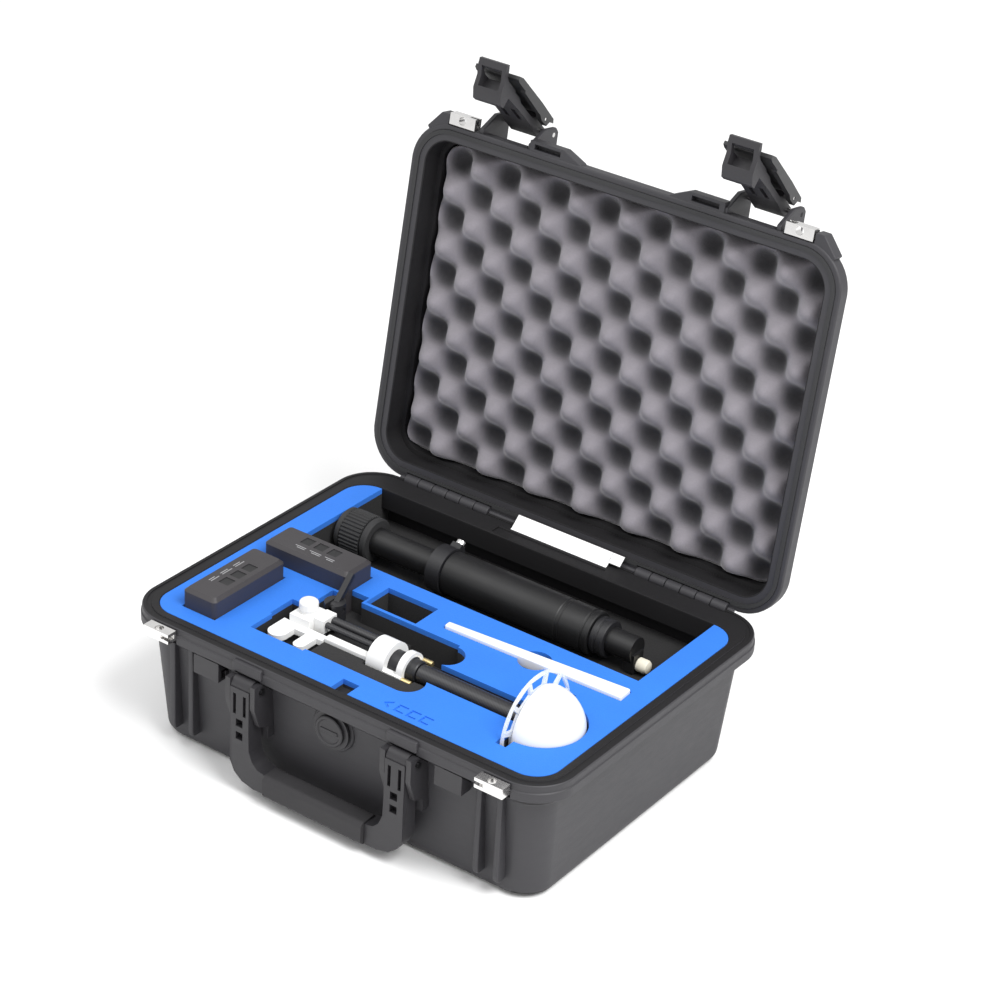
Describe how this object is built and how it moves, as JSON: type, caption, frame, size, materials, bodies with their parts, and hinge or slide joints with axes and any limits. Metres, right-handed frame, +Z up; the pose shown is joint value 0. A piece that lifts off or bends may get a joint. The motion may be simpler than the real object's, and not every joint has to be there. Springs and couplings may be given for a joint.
{
  "type": "drone field kit case",
  "caption": "Hard carry case with fitted foam, open lid and a stowed drone kit: battery packs, telescopic mast, domed boom and blade.",
  "frame": {"origin": "centre of the base's underside, on the floor", "axes": "+X to the case's right as seen from the front, +Y towards the hinge, +Z up"},
  "size_m": [0.42, 0.4263, 0.508],
  "materials": {
    "case_shell": "textured black moulded plastic",
    "case_trim": "smooth black moulded plastic",
    "foam_core": "black closed-cell foam",
    "foam_top": "blue closed-cell foam sheet",
    "lid_foam": "charcoal open-cell convoluted foam",
    "steel": "stainless steel",
    "brass": "brass",
    "label_white": "blank white label plate",
    "rubber": "black rubber",
    "lever_grey": "dark grey moulded plastic",
    "pack_grey": "satin dark grey plastic",
    "pack_dark": "recessed black plastic",
    "mast_black": "black anodised aluminium",
    "carbon": "dark carbon tube",
    "white_plastic": "white moulded plastic",
    "clear_plastic": "clear moulded plastic",
    "cream": "pale rubber foot"
  },
  "bodies": {
    "base": {"base_shell": "case_shell", "base_foam_core": "foam_core", "base_foam_top": "foam_top", "hinge_pins": "steel", "hinge_label": "label_white", "vent_body": "case_trim", "latch_keepers": "case_trim", "padlock_plate_left": "steel", "padlock_plate_right": "steel", "handle_bracket_left": "case_trim", "handle_bracket_right": "case_trim", "handle_pins": "steel"},
    "vent": {"vent_cap": "case_trim"},
    "handle": {"handle_frame": "case_trim", "handle_grip": "rubber"},
    "lid": {"lid_shell": "case_shell", "lid_foam": "lid_foam", "lid_gasket": "rubber", "lid_plate_left": "steel", "lid_plate_right": "steel", "latch_pin_left": "steel", "latch_pin_right": "steel"},
    "latch_left": {"latch_hook_left": "case_trim", "trigger_pin_left": "steel"},
    "latch_right": {"latch_hook_right": "case_trim", "trigger_pin_right": "steel"},
    "trigger_left": {"latch_trigger_left": "lever_grey"},
    "trigger_right": {"latch_trigger_right": "lever_grey"},
    "pack_a": {"pack_a_case": "pack_grey", "pack_a_contacts": "pack_dark"},
    "pack_b": {"pack_b_case": "pack_grey", "pack_b_contacts": "pack_dark"},
    "mast": {"mast_tube": "mast_black"},
    "collar": {"mast_collar": "rubber"},
    "sleeve": {"mast_sleeve": "mast_black", "mast_clamp_boss": "case_trim", "mast_end_ring": "case_trim", "mast_end_fitting": "mast_black", "mast_tip": "cream"},
    "clamp_screw": {"mast_clamp_screw": "steel"},
    "boom": {"boom_bracket": "white_plastic", "boom_spars": "carbon", "boom_rail": "white_plastic", "boom_lever_pivot": "case_trim", "boom_collar": "white_plastic", "boom_motor": "case_trim", "boom_screws": "brass", "boom_tube": "carbon"},
    "knob": {"boom_knob": "white_plastic"},
    "lever": {"boom_lever": "case_trim"},
    "head": {"head_hub": "white_plastic", "head_guard": "clear_plastic", "head_dome": "white_plastic"},
    "blade": {"blade": "white_plastic"}
  },
  "joints": [
    {"name": "lid_hinge", "type": "hinge", "parent": "base", "child": "lid", "pos_m": [0, 0.159, 0.1184], "axis": [-1, 0, 0], "range_deg": [-99.4, 0]},
    {"name": "handle_fold", "type": "hinge", "parent": "base", "child": "handle", "pos_m": [0, -0.16, 0.098], "axis": [-1, 0, 0], "range_deg": [0, 95]},
    {"name": "vent_turn", "type": "hinge", "parent": "base", "child": "vent", "pos_m": [0, -0.15, 0.084], "axis": [0, -1, 0], "range_deg": [0, 90]},
    {"name": "latch_left_swing", "type": "hinge", "parent": "lid", "child": "latch_left", "pos_m": [-0.12, 0.24556, 0.43552], "axis": [-1, 0, 0], "range_deg": [-36, 55]},
    {"name": "trigger_left_pull", "type": "hinge", "parent": "latch_left", "child": "trigger_left", "pos_m": [-0.12, 0.24, 0.4497], "axis": [-1, 0, 0], "range_deg": [0, 12], "stiffness_Nm_per_rad": 0.15, "springref_deg": -17.19},
    {"name": "latch_right_swing", "type": "hinge", "parent": "lid", "child": "latch_right", "pos_m": [0.12, 0.24556, 0.43552], "axis": [-1, 0, 0], "range_deg": [-36, 55]},
    {"name": "trigger_right_pull", "type": "hinge", "parent": "latch_right", "child": "trigger_right", "pos_m": [0.12, 0.24, 0.4497], "axis": [-1, 0, 0], "range_deg": [0, 12], "stiffness_Nm_per_rad": 0.15, "springref_deg": -17.19},
    {"name": "pack_a_lift", "type": "slide", "parent": "base", "child": "pack_a", "axis": [0, 0, 1], "range_m": [0, 0.12]},
    {"name": "pack_b_lift", "type": "slide", "parent": "base", "child": "pack_b", "axis": [0, 0, 1], "range_m": [0, 0.12]},
    {"name": "mast_lift", "type": "slide", "parent": "base", "child": "mast", "axis": [0, 0, 1], "range_m": [0, 0.12]},
    {"name": "collar_turn", "type": "hinge", "parent": "mast", "child": "collar", "pos_m": [-0.15, 0.077, 0.104], "axis": [1, 0, 0], "range_deg": [0, 120]},
    {"name": "sleeve_slide", "type": "slide", "parent": "mast", "child": "sleeve", "axis": [1, 0, 0], "range_m": [-0.06, 0.005]},
    {"name": "clamp_screw_turn", "type": "hinge", "parent": "sleeve", "child": "clamp_screw", "pos_m": [-0.063, 0.09432, 0.114], "axis": [0, 0.866, 0.5], "range_deg": [0, 180]},
    {"name": "boom_lift", "type": "slide", "parent": "base", "child": "boom", "axis": [0, 0, 1], "range_m": [0, 0.12]},
    {"name": "knob_turn", "type": "hinge", "parent": "boom", "child": "knob", "pos_m": [-0.086, -0.073, 0.125], "axis": [0, 0, 1], "range_deg": [0, 180]},
    {"name": "lever_flip", "type": "hinge", "parent": "boom", "child": "lever", "pos_m": [-0.076, -0.052, 0.121], "axis": [1, 0, 0], "range_deg": [0, 50]},
    {"name": "head_turn", "type": "hinge", "parent": "boom", "child": "head", "pos_m": [0.131, -0.076, 0.113], "axis": [1, 0, 0], "continuous": true},
    {"name": "blade_lift", "type": "slide", "parent": "base", "child": "blade", "axis": [0, 0, 1], "range_m": [0, 0.12]}
  ]
}
